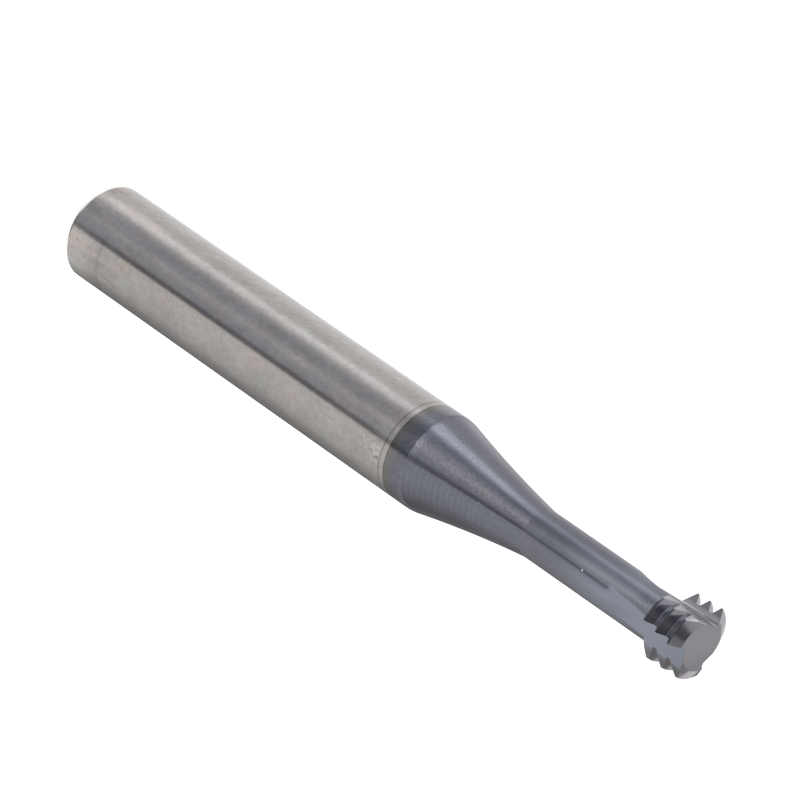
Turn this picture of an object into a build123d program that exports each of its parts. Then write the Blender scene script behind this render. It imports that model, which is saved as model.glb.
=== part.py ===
from build123d import *
from math import ceil, cos, degrees, radians, sin, sqrt, tan
import os

# A solid carbide thread mill, ground from one round blank. It stands on the end of its shank,
# with the origin at the middle of that end and +Z along the axis to the cutting end.
# Lengths are in millimetres and angles in degrees about +Z, where 0 is +X.

# Blank
overall_length = 51.0
shank_diameter = 6.0
shank_length = 30.1  # to the corner that the shoulder rounds off
shank_chamfer_length = 0.5
shank_chamfer_depth = 0.45
shoulder_radius = 2.5
taper_length = 8.15
taper_hollow_radius = 85.0
neck_diameter = 2.98

# Thread form: plain rings, square to the axis
tooth_count = 3
thread_pitch = 1.0
thread_angle = 60.0
cutting_diameter = 4.66
thread_depth = 0.53
crest_flat = 0.125
root_rounding = 0.06
end_length = 0.44  # from the middle of the last crest to the end face

# Flutes: right-handed, each with a rake face, a flat floor and a flat that backs off the heel.
# The floor and the heel flat are given by how far they lie from the axis, and by the angle that
# they face, counted ahead of the cutting edge.
flute_count = 3
helix_angle = 10.0
first_edge_angle = 174.8  # of one cutting edge, at the end face
rake_angle = 2.0
core_diameter = 2.5
floor_angle = 16.0
flute_root_radius = 0.3
heel_distance = 1.5
heel_angle = 32.0
flute_length = 4.15  # at full depth, from the end face
flute_wheel_radius = 8.0

# Relief: each land is ground about its own axis, set off from the tool's, ahead of its edge
relief_offset = 0.28
relief_lead = 90.0

# How far a cut runs on past the metal, how a flute's section opens outside the lands, and how
# close together its sections stand
overrun = 0.4
opening_angles = (50.0, -20.0)  # of its two outer walls, counted from the heel flat
section_spacing = 0.8

shank_radius = shank_diameter / 2
neck_radius = neck_diameter / 2
core_radius = core_diameter / 2
cutting_radius = cutting_diameter / 2
flute_pitch = 360 / flute_count
twist_per_mm = degrees(tan(radians(helix_angle)) / cutting_radius)
flank_slope = tan(radians(thread_angle / 2))
last_crest_height = overall_length - end_length
first_crest_height = last_crest_height - (tooth_count - 1) * thread_pitch


def turned_at(height):
    """How far the flutes have turned at a height, counted from the end face."""
    return (height - overall_length) * twist_per_mm


def point_at(radius, angle, height=0):
    """A point given by its distance from the axis, its angle and its height."""
    return Vector(radius * cos(radians(angle)), radius * sin(radians(angle)), height)


def meeting_point(wall, other):
    """Where two straight walls of a flute meet, each given by its facing angle and distance."""
    (angle, distance), (other_angle, other_distance) = wall, other
    turn = sin(radians(other_angle - angle))
    x = (distance * sin(radians(other_angle)) - other_distance * sin(radians(angle))) / turn
    y = (other_distance * cos(radians(angle)) - distance * cos(radians(other_angle))) / turn
    return (x, y)


def blank():
    """The chamfered shank, the hollow-ground taper and the neck, turned from one half section."""
    corner = (shank_radius, shank_length)
    neck_start = (neck_radius, shank_length + taper_length)
    with BuildSketch() as half:
        with BuildLine():
            Polyline(
                (0, 0),
                (shank_radius - shank_chamfer_depth, 0),
                (shank_radius, shank_chamfer_length),
                corner,
            )
            RadiusArc(corner, neck_start, taper_hollow_radius)
            Polyline(neck_start, (neck_radius, first_crest_height), (0, first_crest_height), (0, 0))
        make_face()
        shoulder = half.vertices().sort_by_distance(corner)[0]
        fillet(shoulder, radius=shoulder_radius)
    return revolve(Plane.XZ * half.sketch, axis=Axis.Z)


def relief_frame(edge_angle):
    """The frame that one land is ground in: its Z is the relief axis, which leans with the flutes."""
    ahead = edge_angle + relief_lead
    foot = point_at(relief_offset, ahead + turned_at(first_crest_height), first_crest_height)
    head = point_at(relief_offset, ahead, overall_length)
    return Plane(origin=head, z_dir=head - foot)


def thread_section(crest_radius, end_height):
    """Half of the thread form, with its heights counted up from the end face at end_height."""
    root_radius = crest_radius - thread_depth
    inner_radius = crest_radius - cutting_radius + core_radius / 2
    flank_run = thread_depth * flank_slope
    crest = end_height + first_crest_height - overall_length
    start = crest - crest_flat / 2 - (crest_radius - inner_radius) * flank_slope
    corners = [(0, start, 0), (inner_radius, start, 0)]
    for tooth in range(tooth_count):
        if tooth:
            corners.append((root_radius, crest - crest_flat / 2 - flank_run, root_rounding))
        corners.append((crest_radius, crest - crest_flat / 2, 0))
        corners.append((crest_radius, crest + crest_flat / 2, 0))
        if tooth < tooth_count - 1:
            corners.append((root_radius, crest + crest_flat / 2 + flank_run, root_rounding))
        crest += thread_pitch
    top = end_height + overrun
    front_run = end_length + overrun - crest_flat / 2
    corners += [(crest_radius - front_run / flank_slope, top, 0), (0, top, 0)]
    with BuildSketch(Plane.XZ) as section:
        with BuildLine():
            FilletPolyline(
                [(x, y) for x, y, rounding in corners],
                radius=[rounding for x, y, rounding in corners],
                close=True,
            )
        make_face()
    return section.sketch


def land(edge_angle):
    """One toothed land: rings about the relief axis, kept between the middles of two flutes."""
    frame = relief_frame(edge_angle)
    edge = frame.to_local_coords(point_at(cutting_radius, edge_angle, overall_length))
    section = thread_section(sqrt(edge.X**2 + edge.Y**2), edge.Z)
    rings = frame * revolve(section, axis=Axis.Z)

    foot = first_crest_height - thread_pitch
    middle = edge_angle + heel_angle + turned_at((foot + overall_length) / 2)
    reach = 2 * cutting_diameter
    with BuildPart() as sector:
        with BuildSketch(Plane.XY.offset(foot)):
            with BuildLine():
                Polyline(
                    (0, 0),
                    point_at(reach, middle - flute_pitch),
                    point_at(reach, middle),
                    close=True,
                )
            make_face()
        extrude(amount=overall_length - foot)
    return rings & sector.part


def flute_section():
    """What a flute takes away, square to the axis, with the cutting edge at angle 0."""
    clear = cutting_radius + relief_offset + overrun
    walls = [
        (rake_angle - 90, cutting_radius * sin(radians(rake_angle))),
        (floor_angle, core_radius),
        (heel_angle, heel_distance),
        *((heel_angle + opening, clear) for opening in opening_angles),
    ]
    corners = [meeting_point(wall, walls[number - 1]) for number, wall in enumerate(walls)]
    with BuildSketch() as section:
        with BuildLine():
            FilletPolyline(corners, radius=[0, flute_root_radius, 0, 0, 0], close=True)
        make_face()
    return section.sketch


def flute(edge_angle):
    """The metal that one flute takes away: its section climbs the helix.

    Below its full depth the section swings out of the neck on the arc of the wheel.
    """
    section = flute_section()
    full_depth = overall_length - flute_length
    rise_to_clear = neck_radius - core_radius + overrun
    run_out = sqrt(2 * flute_wheel_radius * rise_to_clear - rise_to_clear**2)
    bottom = full_depth - run_out
    top = overall_length + overrun
    steps = ceil((top - bottom) / section_spacing)
    sections = []
    for step in range(steps + 1):
        height = bottom + (top - bottom) * step / steps
        back = max(0.0, full_depth - height)
        rise = flute_wheel_radius - sqrt(flute_wheel_radius**2 - back**2)
        turn = Rot(0, 0, edge_angle + turned_at(height))
        sections.append(Pos(0, 0, height) * turn * Pos(point_at(rise, floor_angle)) * section)
    return loft(sections)


edge_angles = [first_edge_angle + number * flute_pitch for number in range(flute_count)]
lands = [land(angle) for angle in edge_angles]
flutes = [flute(angle) for angle in edge_angles]
thread_mill = blank().fuse(*lands).cut(*flutes)
thread_mill.label = "thread_mill"

os.makedirs("parts", exist_ok=True)
export_step(thread_mill, "parts/thread_mill.step")
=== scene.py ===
"""The looks of a ground carbide thread mill: bare shank, hard-coated front, clean-cut flutes."""

from math import cos, degrees, radians

import bmesh
import bpy
from mathutils import Matrix

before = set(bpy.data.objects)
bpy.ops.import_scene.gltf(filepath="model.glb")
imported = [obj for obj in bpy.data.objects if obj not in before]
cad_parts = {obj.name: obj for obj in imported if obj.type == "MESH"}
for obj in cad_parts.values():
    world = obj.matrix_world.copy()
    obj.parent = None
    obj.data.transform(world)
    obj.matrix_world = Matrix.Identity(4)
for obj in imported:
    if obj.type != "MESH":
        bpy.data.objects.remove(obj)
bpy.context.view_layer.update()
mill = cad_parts["thread_mill"]

millimetres_per_metre = 1000.0

# Where the finishes and forms change, in millimetres up the tool
tool_length = 51.0
stain_line_height = 28.25
coating_height = 28.62
coating_settled_height = 29.6
shoulder_height = 30.03
neck_height = 38.25
teeth_height = 48.045
first_crest_height = 48.56
thread_pitch = 1.0

# The flutes, as they are ground: millimetres, and degrees ahead of the cutting edge. Each wall
# has the way it faces and how far it lies from the axis.
flute_turn_per_mm = 4.336
edge_angle_at_end = 174.8
rake_wall = (92.0, -0.081)
flute_floor = (16.0, 1.25)
heel_flat = (32.0, 1.5)
full_depth_height = 46.85
flute_wheel_radius = 8.0
wall_blur = (-0.022, -0.010)  # from where, inside a wall, a face counts as cut by it


class Wire:
    """One value or colour on its way through a material, written into sums like a number."""

    def __init__(self, nodes, socket):
        self.nodes = nodes
        self.socket = socket

    def maths(self, operation, first, *others):
        inputs = dict(enumerate((first, *others)))
        return self.nodes.add("ShaderNodeMath", {"operation": operation}, inputs)

    def __add__(self, other):
        return self.maths("ADD", self, other)

    def __radd__(self, other):
        return self.maths("ADD", other, self)

    def __sub__(self, other):
        return self.maths("SUBTRACT", self, other)

    def __rsub__(self, other):
        return self.maths("SUBTRACT", other, self)

    def __mul__(self, other):
        return self.maths("MULTIPLY", self, other)

    def __rmul__(self, other):
        return self.maths("MULTIPLY", other, self)

    def __truediv__(self, other):
        return self.maths("DIVIDE", self, other)

    def __abs__(self):
        return self.maths("ABSOLUTE", self)

    def __pow__(self, other):
        return self.maths("POWER", self, other)

    def most(self, other):
        return self.maths("MAXIMUM", self, other)

    def turn(self, operation):
        return self.maths(operation, self)

    def step(self, low, high):
        """0 below low, 1 above high, and smooth between them."""
        return self.nodes.add(
            "ShaderNodeMapRange",
            {"interpolation_type": "SMOOTHSTEP"},
            {"Value": self, "From Min": low, "From Max": high},
        )

    def past(self, border, blur):
        """0 below a border and 1 above it, with the border blurred to either side."""
        return self.step(border - blur, border + blur)

    def near(self, middle, reach):
        """1 at the middle, falling to 0 at the given reach to either side."""
        return 1 - abs(self - middle).step(0.0, reach)


class Nodes:
    """The nodes of one material, or of the world."""

    def __init__(self, owner):
        owner.use_nodes = True
        self.tree = owner.node_tree
        self.tree.nodes.clear()

    def add(self, kind, settings=None, inputs=None, out=0):
        node = self.tree.nodes.new(kind)
        for name, value in (settings or {}).items():
            if name == "stops":
                self.set_stops(node.color_ramp, value)
            else:
                setattr(node, name, value)
        for name, value in (inputs or {}).items():
            if isinstance(value, Wire):
                self.tree.links.new(value.socket, node.inputs[name])
            else:
                node.inputs[name].default_value = value
        return Wire(self, node.outputs[out]) if len(node.outputs) else node

    def set_stops(self, ramp, stops):
        while len(ramp.elements) > 1:
            ramp.elements.remove(ramp.elements[-1])
        for number, (position, colour) in enumerate(stops):
            element = ramp.elements.new(position) if number else ramp.elements[0]
            element.position = position
            element.color = (*colour, 1.0)

    def blend(self, share, plain, other):
        """One colour turning into the other by the given share."""
        colours = {0: share, 6: plain, 7: other}
        return self.add("ShaderNodeMix", {"data_type": "RGBA"}, colours, out=2)

    def shade(self, colour, amount):
        """A colour times a wire that stays near 1."""
        grey = self.add("ShaderNodeCombineXYZ", None, {0: amount, 1: amount, 2: amount})
        return self.add("ShaderNodeVectorMath", {"operation": "MULTIPLY"}, {0: colour, 1: grey})

    def place(self):
        """The place on the piece in millimetres."""
        where = self.add("ShaderNodeTexCoord", out="Object")
        scale = {0: where, "Scale": millimetres_per_metre}
        return self.add("ShaderNodeVectorMath", {"operation": "SCALE"}, scale)

    def parts(self, vector):
        """The three parts of a vector."""
        return [self.add("ShaderNodeSeparateXYZ", None, {0: vector}, out) for out in "XYZ"]

    def grain(self, where, stretch, detail, roughness):
        """Noise from 0 to 1, with so many features to a millimetre along X, Y and Z."""
        scaled = {0: where, 1: stretch}
        stretched = self.add("ShaderNodeVectorMath", {"operation": "MULTIPLY"}, scaled)
        inputs = {"Vector": stretched, "Scale": 1.0, "Detail": detail, "Roughness": roughness}
        return self.add("ShaderNodeTexNoise", None, inputs)


def grey(level, coolness=0.0, redness=0.0):
    """A grey of that level: a coolness of 1 is daylight, and redness turns it towards pink."""
    red = level * (1 - 0.035 * coolness + 0.03 * redness)
    return (red, level, level * (1 + 0.1 * coolness))


def ahead_of_edge(angle, height):
    """Degrees ahead of the nearest cutting edge: 0 to 90 in a flute, and below 0 on a land."""
    turned = angle - edge_angle_at_end - (height - tool_length) * flute_turn_per_mm
    return turned.maths("WRAP", turned, 90.0, -30.0)


def flute_pocket(radius, ahead, height):
    """1 on the faces that the flutes have cut, by the three walls that a flute is ground to."""
    back = (full_depth_height - height).most(0.0)
    rise = flute_wheel_radius - (flute_wheel_radius**2 - back * back).most(0.0) ** 0.5
    rake, floor, heel = (
        (
            radius * ((ahead - facing) * radians(1)).turn("COSINE")
            - rise * cos(radians(facing - flute_floor[0]))
            - off_axis
        ).step(*wall_blur)
        for facing, off_axis in (rake_wall, flute_floor, heel_flat)
    )
    return rake * floor.most(heel)


def distance(across, along):
    """How far off a place is, from two distances that are square to each other."""
    return (across * across + along * along) ** 0.5


class Skin:
    """The tool's surface: where a place on it lies, its zones, and the grains of its marks."""

    def __init__(self, nodes):
        self.nodes = nodes
        where = nodes.place()
        self.x, self.y, self.height = nodes.parts(where)
        self.radius = distance(self.x, self.y)
        self.turned = self.y.maths("ARCTAN2", self.y, self.x) * degrees(1)
        self.ahead = ahead_of_edge(self.turned, self.height)
        # The back mirrors the front, so that no mark ends in a seam
        self.angle = 0 - abs(self.turned)

        # The zones: 1 inside and 0 outside
        height, angle = self.height, self.angle
        self.coated = height.past(coating_height, 0.03)
        self.collar = self.coated * (1 - height.past(shoulder_height, 0.04))
        self.tapered = height.step(29.86, 30.06) * (1 - height.step(36.8, 39.4))
        self.under_side = angle.step(-92.0, -60.0)
        self.fluted = flute_pocket(self.radius, self.ahead, height)
        self.toothed = height.past(teeth_height, 0.025) * (1 - self.fluted)
        facing = angle.step(-136.0, -130.0) * (1 - angle.step(-62.0, -58.0))
        self.facing_teeth = facing * self.toothed
        self.end_face = height.past(tool_length - 0.008, 0.004)

        self.rings = nodes.grain(where, (0.35, 0.35, 16.0), 3.0, 0.65)
        self.fine_rings = nodes.grain(where, (1.2, 1.2, 60.0), 2.0, 0.6)
        self.stains = nodes.grain(where, (0.7, 0.7, 0.4), 5.0, 0.65)
        self.blotches = nodes.grain(where, (3.2, 3.2, 2.4), 3.0, 0.65)
        self.speckle = nodes.grain(where, (13.0, 13.0, 11.0), 2.0, 0.7)
        self.tints = nodes.grain(where, (1.1, 1.1, 0.8), 3.0, 0.6)
        self.clumps = nodes.grain(where, (5.5, 5.5, 4.5), 2.0, 0.6)
        self.streaks = nodes.grain(where, (3.0, 3.0, 0.35), 3.0, 0.65)
        self.wipes = self.slanting_wipes()

    def slanting_wipes(self):
        """Streaks that run round the shank at a slant."""
        arc = self.angle * self.radius * radians(1)
        slanted = self.nodes.add("ShaderNodeCombineXYZ", None, {
            0: self.height * 0.65 + arc * 0.75,
            1: self.height * 0.75 - arc * 0.65,
        })
        return self.nodes.grain(slanted, (4.0, 0.4, 1.0), 4.0, 0.75)

    def spot(self, angle, height, size):
        """1 on a small round mark at an angle and a height, fading out at its rim."""
        across = (self.turned - angle) * self.radius * radians(1)
        return 1 - distance(across, self.height - height).step(size * 0.5, size)


def bare_colour(skin):
    """Bare carbide: warm and greenish tints, wipe marks, stains, scuffs, a scratched ring, and
    painted light at the back end.
    """
    nodes, height, angle = skin.nodes, skin.height, skin.angle
    warm = (0.602, 0.551, 0.528, 1)
    cooler = (0.573, 0.55, 0.541, 1)
    greenish = (0.545, 0.558, 0.525, 1)
    colour = nodes.blend(skin.tints.step(0.38, 0.62), warm, cooler)
    colour = nodes.blend(skin.tints.step(0.58, 0.7) * 0.8, colour, greenish)

    mottling = 0.32 + 0.4 * skin.stains + 0.46 * skin.blotches
    mottling = mottling + 0.38 * skin.speckle + 0.12 * skin.fine_rings
    wiped = 0.08 + 0.3 * (1 - angle.step(-140.0, -125.0))
    streaked = 0.08 + 0.45 * (1 - height.step(1.5, 7.0))
    mottling = mottling + (skin.wipes - 0.5) * wiped + (skin.streaks - 0.5) * streaked
    # Painted light: the back end is made lighter on some sides and in two patches, where the metal
    # mirrors more light.
    lighter = 0.22 * angle.step(-88.0, -76.0) + 0.55 * angle.step(-48.0, -28.0)
    lighter = lighter * (1 - height.step(0.8, 3.2))
    lighter = lighter + 0.14 * angle.near(-108.0, 9.0) * (1 - height.step(5.0, 8.0))
    lighter = lighter + 0.22 * angle.near(-132.5, 7.0) * height.near(4.5, 3.2)
    colour = nodes.shade(colour, mottling + lighter)

    flecks = skin.clumps.step(0.6, 0.7) * skin.stains.step(0.5, 0.62)
    scuffs = height.near(27.3, 1.9) * angle.near(-66.0, 17.0)
    scuffs = scuffs.most(height.near(19.6, 2.6) * angle.near(-95.5, 10.0))
    scuffs = scuffs.most(height.near(27.4, 1.0) * angle.near(-96.0, 9.0) * 0.6)
    scuffs = scuffs * (0.5 * skin.clumps + 0.5 * skin.speckle).step(0.5, 0.58)
    colour = nodes.blend((0.3 * flecks).most(0.6 * scuffs), colour, (0.87, 0.8, 0.73, 1))
    rubbed = height.step(27.15, 27.6) * (1 - height.step(28.1, 28.2)) * angle.near(-57.0, 24.0)
    rubbed_light = rubbed * skin.clumps.step(0.47, 0.58) * 0.5
    colour = nodes.blend(rubbed_light, colour, (0.85, 0.76, 0.74, 1))

    scratch = angle.step(-88.0, -80.0) * (1 - 0.7 * angle.step(-36.0, -18.0))
    scratch = height.near(3.22, 0.26) * (0.15 + 0.85 * scratch) * (0.4 + 1.2 * skin.blotches)
    specks = skin.spot(-65.1, 1.18, 0.1).most(skin.spot(-51.9, 2.06, 0.09))
    colour = nodes.blend((0.16 * scratch).most(0.35 * specks), colour, (0.12, 0.1, 0.1, 1))
    rubbed_dark = rubbed * (1 - skin.blotches.step(0.4, 0.5)) * 0.55
    colour = nodes.blend(rubbed_dark, colour, (0.24, 0.25, 0.27, 1))
    stain_line = height.near(stain_line_height, 0.1)
    return nodes.blend(stain_line * 0.55, colour, (0.17, 0.155, 0.15, 1))


def coat_colour(skin):
    """The coating on the collar, the taper and the neck, with painted light and shade laid over it.
    """
    nodes, height, angle = skin.nodes, skin.height, skin.angle
    settled = height.step(coating_height, coating_settled_height)
    colour = nodes.blend(settled, (0.29, 0.283, 0.268, 1), (0.26, 0.264, 0.306, 1))
    colour = nodes.shade(colour, 0.77 + 0.18 * skin.stains + 0.28 * skin.blotches)

    # Painted shade and light on the collar: a painted dark band on the near side, painted shade
    # towards the under side and at the band's top, painted light on the far side, and a mottle.
    painted_dark_band = angle.step(-118.0, -108.0) * (1 - angle.step(-80.0, -74.0))
    collar_shade = 0.07 + 0.2 * painted_dark_band + 0.1 * angle.step(-45.0, -25.0)
    collar_shade = collar_shade - 0.3 * (1 - angle.step(-152.0, -136.0))
    collar_shade = collar_shade + 0.18 * painted_dark_band * height.step(29.75, 30.05)
    collar_shade = collar_shade - (skin.clumps - 0.5) * 0.5 * angle.step(-160.0, -130.0)
    colour = nodes.shade(colour, 1 - skin.collar * collar_shade)

    ribs = (height * 16.5 + skin.blotches * 3.0).turn("SINE") * (0.1 * skin.stains)
    ribs = ribs * skin.under_side * (1 - 0.8 * height.step(34.0, 36.5)) * skin.tapered
    clumped = (skin.speckle - 0.5) * 1.1 + (skin.clumps - 0.5) * 0.55
    speckled = skin.tapered.most(0.5 * height.past(shoulder_height, 0.04))
    speckled = speckled * (1 - 0.8 * skin.under_side) * (0.3 + 0.7 * angle.step(-115.0, -104.0))
    # Painted sparkle: colour speckle laid only along the taper's highlight strip.
    sparkle = skin.tapered * angle.near(-124.0, 12.0) * (1.3 - 0.7 * height.step(31.5, 35.0))
    brushed = (skin.clumps - 0.5) * 0.45 + (skin.streaks - 0.5) * 0.7
    brushed = brushed * height.step(43.0, 46.0) * angle.step(-130.0, -118.0) * (1 - skin.under_side)
    rough_look = speckled * clumped + ribs + brushed + sparkle * (skin.speckle - 0.5) * 0.9
    colour = nodes.shade(colour, 1 + rough_look)
    warm_flecks = speckled * angle.near(-95.0, 11.0) * skin.clumps.step(0.47, 0.62) * 0.26
    colour = nodes.blend(warm_flecks, colour, (0.335, 0.335, 0.3, 1))

    # Painted light and shade on the taper and the neck.
    colour = nodes.shade(colour, 1 + painted_coat_light(skin, painted_dark_band))
    # A painted reflection: a dark line slanting along the shoulder's rounding.
    past_corner = (skin.turned + 146.0).most(0.0)
    shoulder_dark_reflection = (height - 30.0 + past_corner * 0.1).near(0.0, 0.11)
    shoulder_dark_reflection = shoulder_dark_reflection * skin.turned.step(-176.0, -166.0)
    shoulder_dark_reflection = shoulder_dark_reflection * (1 - skin.turned.step(-143.0, -138.0))
    colour = nodes.blend(shoulder_dark_reflection * 0.6, colour, (0.08, 0.07, 0.08, 1))
    # Painted light: a brighter colour laid over the neck where it mirrors light.
    neck_painted_light_colour = nodes.shade((0.38, 0.405, 0.468), 1 + brushed)
    colour = nodes.blend(painted_neck_light(skin), colour, neck_painted_light_colour)
    rim_line = height.near(coating_height + 0.03, 0.07)
    return nodes.blend(rim_line * 0.55, colour, (0.17, 0.15, 0.13, 1))


def painted_coat_light(skin, painted_dark_band):
    """Light and shade painted into the coating in places, on the taper and on the neck."""
    height, angle = skin.height, skin.angle
    low_side = angle.step(-58.0, -36.0) * 0.062 * (height - 33.8).most(0.0)
    low_foot = angle.step(-38.0, -24.0) * (1 - height.step(30.5, 33.5))
    strip_foot = angle.near(-117.0, 9.0) * (1 - height.step(30.5, 33.0))
    strip_end = angle.near(-122.0, 16.0) * height.step(35.5, 38.25)
    band_foot = painted_dark_band * (1 - height.step(30.15, 30.6))
    far_limb = (1 - angle.step(-174.0, -158.0)) * (1 - height.step(30.5, 34.5))
    taper = low_side - 0.13 * low_foot + 0.3 * strip_foot - 0.28 * strip_end
    taper = taper + 0.3 * band_foot + 0.25 * far_limb
    neck = 0.15 * angle.near(-126.0, 14.0) * (1 - height.step(38.3, 41.0))
    on_neck = height.past(neck_height, 0.05)
    return taper * (1 - skin.collar) * (1 - on_neck) + neck * on_neck


def painted_neck_light(skin):
    """Where light is painted onto the neck's coating as a brighter colour: more so towards the
    teeth.
    """
    height, angle = skin.height, skin.angle
    # The dark line that the neck mirrors is kept free of the painted light.
    dark_reflection_line = angle.near(-79.0, 8.0) * (1 - height.step(43.4, 44.2))
    front = height.step(40.2, 43.7) * angle.step(-132.0, -114.0) * (1 - skin.under_side)
    front = front * (1 - 0.25 * angle.near(-116.0, 8.0)) * (1 - 0.8 * dark_reflection_line)
    under = height.step(40.0, 45.5) * skin.under_side * (1 - 0.3 * angle.near(-42.0, 18.0))
    bright = front.most(under) * (1 - 0.35 * angle.near(-87.0, 9.0))
    back = height.step(43.4, 47.0) * (1 - angle.step(-126.0, -104.0)) * 0.6
    bright = bright.most(back) * (1 - 0.4 * height.step(46.3, 47.6))
    return bright * (1 - skin.radius.step(1.5, 1.55))


def flute_colour(skin):
    """The clean-cut flutes: cool and bright on the near side, warmer and greyer on the far, with
    painted light and shade laid over both.
    """
    nodes, height, ahead, radius = skin.nodes, skin.height, skin.ahead, skin.radius
    far = height.step(46.3, 47.0) * (1 - skin.x.step(-0.9, -0.4))
    colour = nodes.blend(far, (0.387, 0.41, 0.475, 1), (0.4, 0.395, 0.418, 1))
    # Painted shade where the near flute starts.
    start = (1 - far) * (1 - height.step(45.3, 47.6)) * skin.angle.step(-64.0, -50.0)
    colour = nodes.shade(colour, 1 - 0.14 * start)
    # Painted shade on the near flute's heel.
    heel_painted_shade = (1 - far) * radius.step(1.62, 1.9) * height.step(48.0, 48.2)
    colour = nodes.blend(heel_painted_shade, colour, (0.312, 0.298, 0.303, 1))

    far_rake = far * (1 - ahead.step(0.5, 2.0))
    colour = nodes.blend(far_rake, colour, (0.407, 0.392, 0.398, 1))
    # Painted light and shade on the far rake face and floor, by radius and height.
    past_fold = radius.step(1.44, 1.53)
    rake_light = past_fold * (0.6 * (1 - radius.step(1.66, 1.88)) + 0.2 * (49.7 - height))
    rake_light = rake_light - 0.28 * (1 - past_fold) * height.step(48.1, 48.5)
    floor_light = 0.8 * height.step(50.35, 50.8) + 0.28 * (1 - height.step(48.0, 48.3))
    return nodes.shade(colour, 1 + far_rake * rake_light + (far - far_rake) * floor_light)


def tooth_colour(skin):
    """The coated flanks of the teeth, with painted shade on the upper teeth and the low land, and
    painted light on the second flank.
    """
    nodes, height, angle = skin.nodes, skin.height, skin.angle
    # Painted light on the second flank; painted shade on the upper teeth and, below, on the low
    # land.
    second_flank = height.near(49.8, 0.25) * angle.step(-113.0, -101.0)
    colour = nodes.shade((0.266, 0.262, 0.291), 1 - 0.12 * height.step(49.4, 49.7))
    colour = nodes.shade(colour, 1 + 0.45 * second_flank)
    return nodes.blend(angle.step(-62.0, -54.0), colour, (0.25, 0.23, 0.246, 1))


def head_colour(skin, colour):
    """Lays the teeth, the flutes and the end face over the colour of the neck, with painted shade
    on the facing crests and roots, painted light on the last low tooth and painted shade on the end
    face's low side.
    """
    nodes, height, angle = skin.nodes, skin.height, skin.angle
    colour = nodes.blend(skin.toothed, colour, tooth_colour(skin))
    colour = nodes.blend(skin.fluted, colour, flute_colour(skin))

    half_pitch_up = first_crest_height + thread_pitch / 2
    from_crest = abs(((height - half_pitch_up) / thread_pitch).turn("FRACT") - 0.5) * thread_pitch
    roots = from_crest.step(0.335, 0.348) * (1 - height.step(50.6, 50.7))
    crests = 1 - from_crest.step(0.062, 0.078)
    # Painted shade on the crests and roots of the facing teeth, lighter towards the heel.
    shadowed = nodes.shade((0.118, 0.12, 0.143), 1.4 - 0.4 * angle.step(-113.0, -101.0))
    colour = nodes.blend(crests.most(roots) * skin.facing_teeth, colour, shadowed)

    # Painted light on the last tooth of the low land.
    lit_last_low_tooth = skin.toothed * height.step(50.1, 50.15) * skin.x.step(0.7, 1.0)
    colour = nodes.blend(lit_last_low_tooth, colour, (0.37, 0.345, 0.375, 1))
    # Painted shade: the end face is darker towards its low side.
    end_painted_shade = (0.8 * skin.x + 0.6 * skin.y).step(0.1, 1.5)
    end_colour = nodes.blend(end_painted_shade, (0.24, 0.234, 0.248, 1), (0.2, 0.194, 0.21, 1))
    return nodes.blend(skin.end_face, colour, end_colour)


def last_corner(skin):
    """1 on the front of the last tooth beside the near land's cutting edge, where it is duller."""
    beside_edge = skin.ahead.step(-20.0, -12.0) * (1 - skin.ahead.step(20.0, 25.0))
    last_front = skin.height.step(50.58, 50.64) * (1 - skin.end_face)
    return beside_edge * last_front * skin.facing_teeth


def ground_carbide():
    """Bare fine-ground carbide that turns into a thin grey-violet coating towards the tip."""
    material = bpy.data.materials.new("ground_carbide")
    nodes = Nodes(material)
    skin = Skin(nodes)
    faint_glints = skin.spot(-50.3, 34.75, 0.07).most(skin.spot(-75.9, 35.1, 0.07))
    glints = skin.spot(-79.55, 42.94, 0.062).most(0.14 * faint_glints)
    colour = nodes.blend(skin.coated, bare_colour(skin), coat_colour(skin))
    colour = nodes.blend(glints, head_colour(skin, colour), (1, 1, 1, 1))

    roughness = 0.09 + 0.1 * skin.stains + 0.02 * skin.coated
    roughness = roughness + 0.04 * skin.tapered * skin.speckle
    roughness = roughness + 0.05 * (1 - skin.height.step(1.0, 7.0))
    roughness = roughness + 0.8 * glints + 0.2 * last_corner(skin)
    marks = 0.7 * skin.rings + 0.3 * skin.fine_rings + 1.8 * skin.blotches
    marks = marks + skin.speckle * (0.25 + 0.35 * skin.tapered)
    bump = nodes.add("ShaderNodeBump", None, {
        "Strength": 0.3,
        "Distance": 0.000004,
        "Height": marks * (0.5 - 0.2 * skin.fluted),
    })
    metal = nodes.add("ShaderNodeBsdfPrincipled", None, {
        "Base Color": colour,
        "Metallic": 1.0,
        "Roughness": roughness,
        "Normal": bump,
    })
    nodes.add("ShaderNodeOutputMaterial", None, {"Surface": metal})
    return material


def seen_directly(nodes):
    """1 for what the camera, a reflection or a look through glass sees, 0 for what only lights."""
    camera_ray, glossy_ray, through_ray = (
        nodes.add("ShaderNodeLightPath", out=name)
        for name in ("Is Camera Ray", "Is Glossy Ray", "Is Transmission Ray")
    )
    return camera_ray.most(glossy_ray).most(through_ray)


def white_floor():
    """A wide white floor that keeps the tool's soft shadow."""
    form = bmesh.new()
    bmesh.ops.create_circle(form, cap_ends=True, segments=64, radius=3.0)
    floor = finished_piece(form, "floor")
    material = bpy.data.materials.new("white_floor")
    nodes = Nodes(material)
    paper = nodes.add("ShaderNodeBsdfDiffuse", None, {"Color": (0.82, 0.82, 0.82, 1)})
    glow = nodes.add("ShaderNodeEmission", None, {"Strength": seen_directly(nodes) * 0.6})
    both = nodes.add("ShaderNodeAddShader", None, {0: paper, 1: glow})
    nodes.add("ShaderNodeOutputMaterial", None, {"Surface": both})
    floor.data.materials.append(material)
    floor.visible_glossy = False


def finished_piece(form, name):
    """Turns a bmesh into an object."""
    mesh = bpy.data.meshes.new(name)
    form.to_mesh(mesh)
    form.free()
    piece = bpy.data.objects.new(name, mesh)
    bpy.context.scene.collection.objects.link(piece)
    return piece


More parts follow.
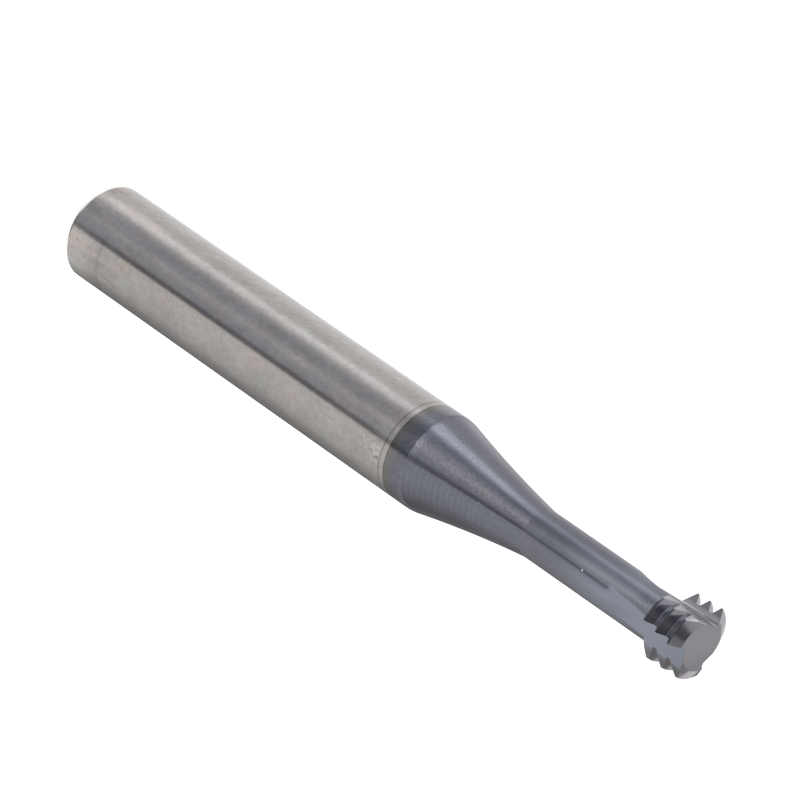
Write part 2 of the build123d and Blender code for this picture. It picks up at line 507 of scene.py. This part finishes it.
# The cards round the tool. Each has the direction in degrees that it stands in, how bright it is
# and, where it isn't a plain grey, how cool and how red. The shank mirrors the low ones, the neck
# the middle ones, and the taper and the teeth the high ones.
low_cards = [
    (0, 0.55), (8, 0.52), (20, 0.43), (32, 0.33), (44, 0.265), (56, 0.235), (68, 0.17),
    (88, 0.13), (94, 0.9, 0.5), (114, 0.85, 0.4), (135, 0.79, 0.1), (150, 0.77), (164, 0.68),
    (180, 0.64), (190, 0.69), (199, 0.97, 0.2), (208, 0.84, 0.3), (213, 0.66), (219, 0.47, 0.6),
    (232, 0.33, 1), (246, 0.36, 1), (258, 0.45, 0.6), (270, 0.365, 0.8), (283.5, 0.34, 1),
    (288, 0.14, 1.2, 2), (296, 0.14, 1.2, 2), (298.5, 0.66, -0.2), (330, 0.64, -0.2), (345, 0.585),
    (359, 0.555),
]
middle_cards = [
    (0, 0.6), (10, 0.59), (24, 0.53), (36, 0.44), (50, 0.36), (64, 0.22), (88, 0.15),
    (94, 0.6), (114, 0.57), (140, 0.71), (160, 0.61), (180, 0.58), (190, 0.62, 0.4),
    (198, 0.74, 0.6), (206, 0.62, 0.6), (218, 0.38, 0.8), (234, 0.4, 0.6), (246, 0.48),
    (259, 0.63), (270, 0.56, 0.3), (284, 0.58, 0.6), (290, 0.3, 0.6), (297, 0.3, 0.6),
    (301, 0.62, 0.2), (330, 0.65, 0.2), (345, 0.62), (359, 0.605),
]
high_cards = [
    (0, 0.5), (9, 0.42), (20, 0.34), (31, 0.26), (42, 0.18), (56, 0.13), (70, 0.12),
    (88, 0.14), (95, 1.0), (127, 0.95), (149, 0.77), (160, 0.67), (171, 0.65), (184, 0.66),
    (194, 0.8, 0.4), (200, 1.35, 0.35, 0.5), (209, 1.32, 0.4, 0.4), (217, 1.12, 0.7),
    (223, 0.5, 1.2), (229, 0.42, 1.2), (238, 0.48, 0.5), (248, 0.68, -0.2), (259, 0.87, -0.2),
    (270, 0.62), (282.5, 0.52, 0.5), (287, 0.19, 0.8, 1), (295, 0.19, 0.8, 1), (298, 0.62, 0.2),
    (325, 0.64, 0.3), (336, 0.6, 0.3), (347, 0.55, 0.2), (359, 0.505),
]

# In metres: how far below the floor these cards lie, to be well away from the tool, and how far
# off the cards that face the teeth stand
ring_depth = 0.06
side_card_distance = 0.6


def reflected_card(form, name, glow):
    """A card that shows in the metal's reflections and nowhere else.

    glow makes the inputs of the card's light from its nodes.
    """
    card = finished_piece(form, name)
    material = bpy.data.materials.new(name)
    nodes = Nodes(material)
    light = nodes.add("ShaderNodeEmission", None, glow(nodes))
    nodes.add("ShaderNodeOutputMaterial", None, {"Surface": light})
    card.data.materials.append(material)
    card.visible_camera = False
    card.visible_diffuse = False
    card.visible_transmission = False
    card.visible_volume_scatter = False
    card.visible_shadow = False


def ring_glow(nodes):
    """The light of the cards round the tool, by their direction and their distance from it."""
    x, y, _ = nodes.parts(nodes.place())
    away = distance(x, y)
    turn = y.maths("ARCTAN2", y, x) / radians(360)
    around = turn.maths("FRACT", turn + 1.0)
    low, middle, high = (
        nodes.add(
            "ShaderNodeValToRGB",
            {"stops": [(angle / 360, grey(*light)) for angle, *light in cards]},
            {0: around},
        )
        for cards in (low_cards, middle_cards, high_cards)
    )
    colour = nodes.blend(away.step(119.0, 128.0), low, middle)
    colour = nodes.blend(away.step(145.0, 205.0), colour, high)
    return {"Color": colour, "Strength": 1.0}


def card_ring():
    """Light and dark cards all round the foot of the tool, as they are set for a metal surface."""
    form = bmesh.new()
    bmesh.ops.create_circle(form, cap_ends=True, segments=96, radius=0.9)
    bmesh.ops.translate(form, verts=form.verts, vec=(0, 0, -ring_depth))
    reflected_card(form, "card_ring", ring_glow)


def overhead_glow(nodes):
    """Light at the rim, and dark straight above the tool."""
    x, y, _ = nodes.parts(nodes.place())
    return {"Strength": 0.2 + 0.72 * distance(x, y).step(110.0, 185.0)}


def overhead_card():
    """A dark card straight above, with a soft edge: the teeth mirror it."""
    form = bmesh.new()
    bmesh.ops.create_circle(form, cap_ends=True, segments=64, radius=0.3)
    bmesh.ops.translate(form, verts=form.verts, vec=(0, 0, 0.55))
    reflected_card(form, "overhead_card", overhead_glow)


def side_card(name, azimuth, elevation, size, level):
    """A square card that faces the teeth from the side: they mirror it."""
    form = bmesh.new()
    bmesh.ops.create_grid(form, x_segments=1, y_segments=1, size=size / 2)
    place = (
        Matrix.Translation((0, 0, tool_length / millimetres_per_metre))
        @ Matrix.Rotation(radians(azimuth), 4, "Z")
        @ Matrix.Rotation(radians(-elevation), 4, "Y")
        @ Matrix.Translation((side_card_distance, 0, 0))
        @ Matrix.Rotation(radians(90), 4, "Y")
    )
    bmesh.ops.transform(form, matrix=place, verts=form.verts)
    reflected_card(form, name, lambda nodes: {"Strength": level})


def white_world():
    """An even white room: plain soft light, and white where it is seen."""
    world = bpy.data.worlds.new("white_room")
    bpy.context.scene.world = world
    nodes = Nodes(world)
    strength = 0.9 + 0.1 * seen_directly(nodes)
    room = nodes.add("ShaderNodeBackground", None, {"Color": (1, 1, 1, 1), "Strength": strength})
    nodes.add("ShaderNodeOutputWorld", None, {"Surface": room})


def camera():
    """The photograph's view: down on the tool at a slant, and rolled so that it lies across."""
    tilt = 37.125
    roll = 124.589
    place = (-0.001698, -0.240636, 0.207362)
    lens = bpy.data.cameras.new("camera")
    lens.sensor_width = 36.0
    lens.lens = 242.86
    lens.clip_start = 0.01
    lens.clip_end = 10.0
    view = bpy.data.objects.new("camera", lens)
    bpy.context.scene.collection.objects.link(view)
    view.matrix_world = (
        Matrix.Translation(place)
        @ Matrix.Rotation(radians(90 - tilt), 4, "X")
        @ Matrix.Rotation(radians(roll), 4, "Z")
    )
    bpy.context.scene.camera = view


mill.data.materials.clear()
mill.data.materials.append(ground_carbide())
white_floor()
card_ring()
overhead_card()
side_card("dark_side_card", azimuth=43.0, elevation=30.0, size=0.5, level=0.42)
side_card("bright_side_card", azimuth=114.0, elevation=12.0, size=0.3, level=1.25)
white_world()
camera()

bpy.context.scene.view_settings.view_transform = "Standard"
